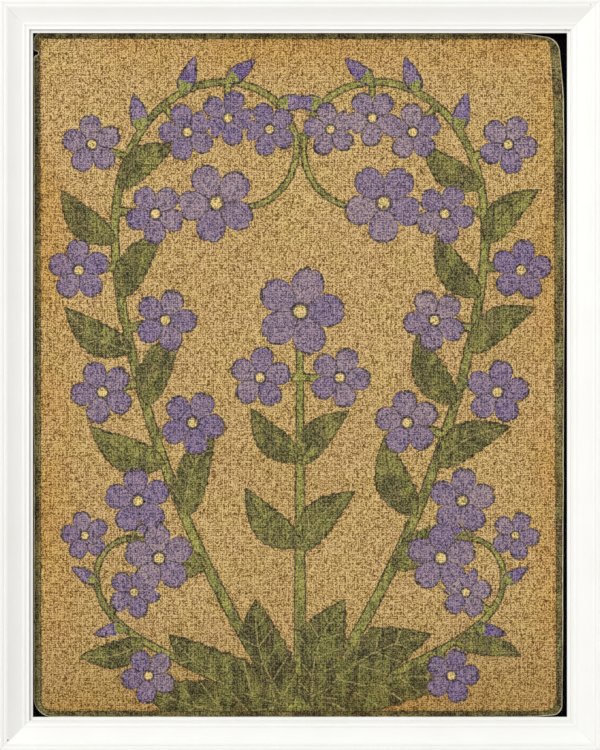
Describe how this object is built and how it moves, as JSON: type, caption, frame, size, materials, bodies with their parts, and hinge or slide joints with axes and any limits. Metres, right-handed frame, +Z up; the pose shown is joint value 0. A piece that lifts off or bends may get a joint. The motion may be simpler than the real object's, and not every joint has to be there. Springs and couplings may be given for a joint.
{
  "type": "framed cloth print",
  "caption": "Upright white mitred picture frame with a scooped moulding, a glass pane and a printed coarse-cloth panel on black board, hung from a sawtooth hanger.",
  "frame": {"origin": "the middle notch of the sawtooth hanger, where a wall nail carries the frame, on the plane of the rails' backs", "axes": "+Z up along the frame's height, +Y out of the back towards the wall, +X to the right seen from the front, which faces -Y"},
  "size_m": [0.3, 0.0228, 0.375],
  "materials": {
    "white_paint": "satin white paint on a machined wood moulding",
    "clear_glass": "clear picture glass with a polished face",
    "printed_cloth": "coarse plain-woven linen, natural tan, printed by hand in violet and greens",
    "black_board": "matt black picture board",
    "hardboard": "brown hardboard, smooth side out",
    "spacer_plastic": "matt black plastic strip",
    "zinc_steel": "bright zinc-plated steel",
    "brass_plate": "brass-plated pressed steel, a little dulled",
    "clear_rubber": "soft grey rubber with a faint shine"
  },
  "bodies": {
    "root": {"rail_top": "white_paint", "rail_bottom": "white_paint", "rail_left": "white_paint", "rail_right": "white_paint", "glazing": "clear_glass", "spacer_top": "spacer_plastic", "spacer_bottom": "spacer_plastic", "spacer_left": "spacer_plastic", "spacer_right": "spacer_plastic", "print_cloth": "printed_cloth", "mount_board": "black_board", "backing_board": "hardboard", "point_top_1": "zinc_steel", "point_top_2": "zinc_steel", "point_bottom_1": "zinc_steel", "point_bottom_2": "zinc_steel", "point_left_1": "zinc_steel", "point_left_2": "zinc_steel", "point_left_3": "zinc_steel", "point_right_1": "zinc_steel", "point_right_2": "zinc_steel", "point_right_3": "zinc_steel", "v_nail_top_left": "zinc_steel", "v_nail_top_right": "zinc_steel", "v_nail_bottom_left": "zinc_steel", "v_nail_bottom_right": "zinc_steel", "sawtooth_hanger": "brass_plate", "hanger_screw_left": "zinc_steel", "hanger_screw_right": "zinc_steel", "bumper_left": "clear_rubber", "bumper_right": "clear_rubber"}
  },
  "joints": []
}
